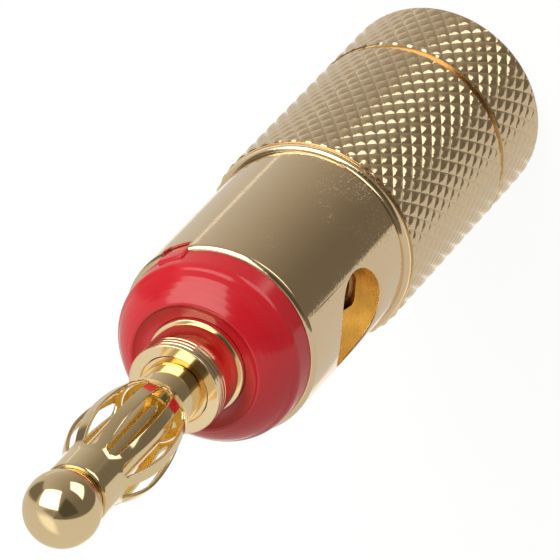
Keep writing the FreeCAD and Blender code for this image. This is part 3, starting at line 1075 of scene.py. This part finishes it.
@dataclass
class LanternSpring:
    """Rolled sleeve with bowed leaves, made from one leaf that is repeated round the axis."""

    span: Span = reach_of("lantern_spring")
    leaves: int = 9
    columns: int = 14
    rows: int = 150
    thickness: float = 0.18
    sleeve_radius: float = 1.68
    sleeve_taper: Pair = (0.05, 0.12)
    bulge_run: float = 3.2
    rim_radius: float = 1.8
    hollow_arc: float = 1.92
    arc_step: float = math.radians(0.5)
    front_margin: float = 0.35
    rear_margin: float = 0.34
    front_width: float = 0.62
    middle_width: float = 1.12
    rear_width: float = 0.68
    slot_angle: float = 64.0
    weld: float = 1e-6
    edge_round: float = 0.035
    edge_segments: int = 3
    edge_limit: float = math.radians(50)
    sharp_angle: float = 45

    def path(self) -> list[Pair]:
        """Draw the outer line of a leaf from the sleeve's front to the rear rim.

        Returns:
            Evenly spaced (radius, height) points.
        """
        bulge, top, bottom = self.span.radius, self.span.top, self.span.bottom
        sleeve_rear = top - SLEEVE_LENGTH
        bulge_height = sleeve_rear - self.bulge_run
        slope = 2 * math.atan((bulge - self.sleeve_radius) / self.bulge_run)
        shoulder = self.bulge_run / math.sin(slope) - self.hollow_arc
        drop, run = bulge - self.rim_radius, bulge_height - bottom
        line = Outline(arc_step=self.arc_step)
        line.to(
            (self.sleeve_radius - self.sleeve_taper[0], top),
            (self.sleeve_radius, top - self.sleeve_taper[1]), (self.sleeve_radius, sleeve_rear),
            (self.sleeve_radius + self.hollow_arc * (1 - math.cos(slope)),
             sleeve_rear - self.hollow_arc * math.sin(slope), self.hollow_arc),
            (bulge, bulge_height, -shoulder),
            (self.rim_radius, bottom, -(run * run + drop * drop) / (2 * drop)),
        )
        return resample(line.points, self.rows)

    def half_slot(self, height: float) -> float:
        """Half width of the slot at a height.

        Args:
            height: place along the axis.

        Returns:
            The half width, 0 outside the slot.
        """
        front = self.span.top - SLEEVE_LENGTH - self.front_margin
        rear = self.span.bottom + self.rear_margin
        if not rear < height < front:
            return 0.0
        share = (height - rear) / (front - rear)
        ends = self.rear_width + (self.front_width - self.rear_width) * share
        swell = self.middle_width - (self.rear_width + self.front_width) / 2
        width = ends + swell * (1 - (2 * share - 1) ** 2)
        front_share = rounded(front - height, self.front_width)
        return width / 2 * front_share * rounded(height - rear, self.rear_width)

    def leaf(self, mesh: BMesh) -> None:
        """Make the first leaf, with its share of the sleeve and the rim.

        Args:
            mesh: an empty mesh to fill, in metres.
        """
        path = self.path()
        half_sector = FULL_TURN / self.leaves / 2
        middle = math.radians(self.slot_angle) + half_sector
        grid = bmesh.ops.create_grid(mesh, x_segments=self.columns, y_segments=self.rows - 1, size=1)
        for vert in grid["verts"]:
            radius, height = path[round((vert.co.y + 1) / 2 * (self.rows - 1))]
            half = half_sector - math.asin(min(1, self.half_slot(height) / radius))
            angle = middle + vert.co.x * half
            vert.co = Vector((radius * math.cos(angle), radius * math.sin(angle), height)) * MM

    def build(self) -> None:
        """Model and dress the spring."""
        mesh = bmesh.new()
        self.leaf(mesh)
        leaf = mesh.verts[:] + mesh.edges[:] + mesh.faces[:]
        for index in range(1, self.leaves):
            copied = bmesh.ops.duplicate(mesh, geom=leaf)
            verts = [e for e in copied["geom"] if isinstance(e, bmesh.types.BMVert)]
            swivel(mesh, verts, FULL_TURN / self.leaves * index)
        bmesh.ops.remove_doubles(mesh, verts=mesh.verts, dist=self.weld)
        bmesh.ops.recalc_face_normals(mesh, faces=mesh.faces)
        if sum(f.normal.xy.dot(f.calc_center_median().xy) for f in mesh.faces) < 0:
            bmesh.ops.reverse_faces(mesh, faces=mesh.faces)
        piece = finish_mesh(mesh, "lantern_leaves")
        settle(
            piece, Body.LANTERN, "lantern_spring", Slot.SPRING,
            PlatedMetal("spring_gold", (0.91, 0.74, 0.46), marks=Marks.ROLLED, mark_depth=0.06),
            # Painted reflection: a deeper orange, part-matte copy of the spring's gold for its inner side,
            # standing in for gold mirrored in gold inside the spring
            PlatedMetal("spring_inside_painted_reflection_gold", (1.0, 0.76, 0.24), roughness=0.2, marks=Marks.ROLLED,
                        mark_depth=0.06, metal=0.8),
        )
        wall = piece.modifiers.new("wall", "SOLIDIFY")
        wall.thickness = self.thickness * MM
        wall.offset = -1
        wall.use_even_offset = True
        # The inner shell takes the second finish, the painted reflection
        wall.material_offset = 1
        apply_modifiers(piece)
        rounding = piece.modifiers.new("rounding", "BEVEL")
        rounding.width = self.edge_round * MM
        rounding.segments = self.edge_segments
        rounding.limit_method = "ANGLE"
        rounding.angle_limit = self.edge_limit
        apply_modifiers(piece)
        smooth(piece.data, self.sharp_angle)


def rounded(distance: float, width: float) -> float:
    """Share of a slot's width at a distance from its round end."""
    return math.sqrt(max(0, 1 - max(0, 1 - distance / (width / 2)) ** 2))


def resample(points: list[Pair], count: int) -> list[Pair]:
    """Space points evenly along a line.

    Args:
        points: corners of the line.
        count: number of points wanted.

    Returns:
        Evenly spaced points from the first corner to the last.
    """
    lengths = [0.0]
    for start, end in zip(points, points[1:]):
        lengths.append(lengths[-1] + math.dist(start, end))
    spaced = []
    index = 0
    for step in range(count):
        wanted = lengths[-1] * step / (count - 1)
        while index < len(points) - 2 and lengths[index + 1] < wanted:
            index += 1
        share = (wanted - lengths[index]) / (lengths[index + 1] - lengths[index])
        start, end = points[index], points[index + 1]
        spaced.append((start[0] + (end[0] - start[0]) * share, start[1] + (end[1] - start[1]) * share))
    return spaced


def direction(azimuth: float, elevation: float) -> Vector:
    """Unit vector towards a place in the surroundings, given in degrees."""
    bearing, height = math.radians(azimuth), math.radians(elevation)
    level = math.cos(height)
    return Vector((math.cos(bearing) * level, math.sin(bearing) * level, math.sin(height)))


@dataclass(frozen=True)
class Card:
    """Flat light or dark card round the plug, given by its corners as (azimuth, elevation) in degrees."""

    corners: tuple[Pair, ...]
    level: float
    softness: float = 0.03

    def mask(self, wiring: Wiring, way: Socket) -> Socket:
        """Mask that is 1 where a direction meets the card.

        Args:
            wiring: node tree of the world.
            way: the direction.

        Returns:
            The mask.
        """
        ways = [direction(*corner) for corner in self.corners]
        middle = sum(ways, Vector())
        mask = None
        for first, second in zip(ways, ways[1:] + ways[:1]):
            inward = first.cross(second).normalized()
            inward = inward if inward.dot(middle) > 0 else -inward
            side = wiring.rise(wiring.along(way, inward), -self.softness, self.softness)
            mask = wiring.math("MULTIPLY", mask, side) if mask else side
        return mask


@dataclass
class Studio:
    """White table and surroundings, with the bright windows and dark cards that polished metal mirrors."""

    floor_size: float = 3.0
    floor_shade: float = 0.9
    floor_glow: float = 0.93
    pale: float = 0.64
    dark: float = 0.14
    ground: float = 0.24
    dark_side: float = 20
    shade_climb: Pair = (12, 185)
    shade_fall: Pair = (345, 342)
    ground_fade: Pair = (-60, -82)
    warm_dark: Triple = (1.24, 1.08, 0.84)
    warm_pale: Triple = (1.02, 0.97, 0.88)
    warm_span: Pair = (0.1, 0.55)
    cards: tuple[Card, ...] = (
        Card(((14, 62), (70, 64), (74, 20), (16, 16)), 0.07, 0.06),
        Card(((70, 86), (150, 80), (160, 52), (100, 64)), 0.24, 0.08),
        Card(((185, 42), (285, 42), (305, 78), (165, 78)), 1.05, 0.15),
        Card(((142, 8), (168, 24), (194, -30), (150, -24)), 0.15, 0.07),
        Card(((165, -66), (169, -66), (169, -44), (165, -44)), 1.0, 0.02),
        Card(((214, -44), (246, -31), (276, -36), (268, -60), (220, -60)), 1.0, 0.06),
        Card(((71, 64), (125, 61), (164, 36), (137, 6), (92, 9)), 2.6),
        Card(((38, -12), (77, -9), (91, -33), (60, -49)), 2.0),
    )
    diffuse_gain: float = 1.15
    lamp_energy: float = 1.5
    lamp_place: Triple = (-160, 330, 420)
    lamp_aim: Triple = (0, 0, 20)
    lamp_size: float = 260
    spot_energy: float = 3.4
    spot_place: Triple = (150, 80, 110)
    spot_aim: Triple = (5.0, 0, 22.4)
    spot_radius: float = 3.0
    spot_blend: float = 0.6

    def surroundings(self, wiring: Wiring) -> Socket:
        """Colour that a direction meets: a dark side that climbs to a pale one, and the cards.

        Args:
            wiring: node tree of the world.

        Returns:
            The colour.
        """
        way = wiring.add("ShaderNodeTexCoord").outputs["Generated"]
        axes = wiring.add("ShaderNodeSeparateXYZ", {0: way}).outputs
        bearing = wiring.math("DEGREES", wiring.math("ARCTAN2", axes["Y"], axes["X"]))
        elevation = wiring.math("DEGREES", wiring.math("ARCSINE", axes["Z"]))
        turned = wiring.math("MODULO", wiring.math("ADD", bearing, 2 * CIRCLE - self.dark_side), CIRCLE)
        climb = wiring.rise(turned, *self.shade_climb)
        fall = wiring.rise(turned, *self.shade_fall)
        level = wiring.mix(wiring.math("MULTIPLY", climb, fall), self.dark, self.pale)
        level = wiring.mix(wiring.rise(elevation, *self.ground_fade), level, self.ground)
        for card in self.cards:
            level = wiring.mix(card.mask(wiring, way), level, card.level)
        grey = wiring.add("ShaderNodeSeparateColor", {0: level}).outputs[0]
        warmth = wiring.rise(grey, *self.warm_span)
        return wiring.mix(1.0, level, wiring.mix(warmth, self.warm_dark, self.warm_pale), "MULTIPLY")

    def build_world(self) -> None:
        """Make the surroundings that the metal mirrors, white to the camera."""
        world = bpy.data.worlds.new("studio")
        bpy.context.scene.world = world
        wiring = Wiring(world)
        wiring.nodes.clear()
        level = self.surroundings(wiring)
        path = wiring.add("ShaderNodeLightPath").outputs
        lit = wiring.mix(path["Is Diffuse Ray"], level, self.diffuse_gain, "MULTIPLY")
        seen = wiring.mix(path["Is Camera Ray"], lit, 1.0)
        background = wiring.add("ShaderNodeBackground", {"Color": seen}).outputs[0]
        wiring.add("ShaderNodeOutputWorld", {"Surface": background})

    def build_floor(self) -> None:
        """Lay the white table, which mirrors pass through so that they show the surroundings."""
        mesh = bmesh.new()
        bmesh.ops.create_grid(mesh, x_segments=1, y_segments=1, size=self.floor_size)
        floor = finish_mesh(mesh, "table")
        material = bpy.data.materials.new("white_table")
        wiring = Wiring(material)
        wiring.nodes.clear()
        path = wiring.add("ShaderNodeLightPath").outputs
        matte = wiring.add("ShaderNodeBsdfDiffuse", {"Color": self.floor_shade}).outputs[0]
        glow = wiring.add("ShaderNodeEmission", {"Color": 1.0, "Strength": 1.0}).outputs[0]
        clear = wiring.add("ShaderNodeBsdfTransparent").outputs[0]
        share = wiring.math("MULTIPLY", path["Is Camera Ray"], self.floor_glow)
        white = wiring.add("ShaderNodeMixShader", {0: share, 1: matte, 2: glow}).outputs[0]
        mirrored = wiring.math("MAXIMUM", path["Is Glossy Ray"], path["Is Transmission Ray"])
        table = wiring.add("ShaderNodeMixShader", {0: mirrored, 1: white, 2: clear}).outputs[0]
        wiring.add("ShaderNodeOutputMaterial", {"Surface": table})
        floor.data.materials.append(material)

    def hang(self, light: bpy.types.Light, place: Triple, target: Triple) -> None:
        """Hang a light and turn it to its target, unseen in the metal.

        Args:
            light: the light's data.
            place: where it hangs.
            target: point that it shines at.
        """
        lamp = bpy.data.objects.new(light.name, light)
        lamp.location = Vector(place) * MM
        lamp.rotation_mode = "QUATERNION"
        lamp.rotation_quaternion = (Vector(target) - Vector(place)).to_track_quat("-Z", "Y")
        lamp.visible_glossy = False
        bpy.context.scene.collection.objects.link(lamp)

    def build_lamps(self) -> None:
        """Hang the soft lamp for plastic and table, and the spot for the cross hole."""
        soft = bpy.data.lights.new("soft_lamp", "AREA")
        soft.shape = "DISK"
        soft.size = self.lamp_size * MM
        soft.energy = self.lamp_energy
        self.hang(soft, self.lamp_place, self.lamp_aim)
        spot = bpy.data.lights.new("hole_spot", "SPOT")
        spot.energy = self.spot_energy
        spot.shadow_soft_size = MM
        spot.spot_size = 2 * math.atan(self.spot_radius / math.dist(self.spot_place, self.spot_aim))
        spot.spot_blend = self.spot_blend
        self.hang(spot, self.spot_place, self.spot_aim)

    def build(self) -> None:
        """Make the surroundings, the table and the lamps."""
        self.build_world()
        self.build_floor()
        self.build_lamps()
        LOG.info("studio built")


@dataclass(frozen=True)
class ProductCamera:
    """Long lens that looks down on the plug's tip from the front, with the picture turned.

    Its near and far limits are in metres.
    """

    place: Triple = (113.13, 188.28, 318.80)
    forward: Triple = (-0.30537, -0.50895, -0.80481)
    right: Triple = (0.90943, 0.09469, -0.40494)
    focal_length: float = 480.1
    sensor_width: float = 36.0
    near: float = 0.01
    far: float = 20

    def build(self) -> None:
        """Place the camera."""
        lens = bpy.data.cameras.new("product_camera")
        lens.sensor_fit = "HORIZONTAL"
        lens.sensor_width = self.sensor_width
        lens.lens = self.focal_length
        lens.clip_start = self.near
        lens.clip_end = self.far
        camera = bpy.data.objects.new("product_camera", lens)
        back = -Vector(self.forward).normalized()
        right = Vector(self.right)
        right = (right - back * right.dot(back)).normalized()
        upward = back.cross(right)
        turned = Matrix((right, upward, back)).transposed()
        camera.matrix_world = Matrix.Translation(Vector(self.place) * MM) @ turned.to_4x4()
        bpy.context.scene.collection.objects.link(camera)
        bpy.context.scene.camera = camera
        LOG.info("camera placed")


def main() -> None:
    """Load the frame, build every piece and set the picture."""
    logging.basicConfig(level=logging.INFO, format="%(message)s")
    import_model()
    for sub_assembly in (ClampCap(), Barrel(), InsulatorRing(), PinBase(), Pin(), LanternSpring()):
        sub_assembly.build()
        LOG.info("%s built", type(sub_assembly).__name__)
    Studio().build()
    ProductCamera().build()
    bpy.context.scene.view_settings.view_transform = "Standard"


if __name__ == "__main__":
    main()
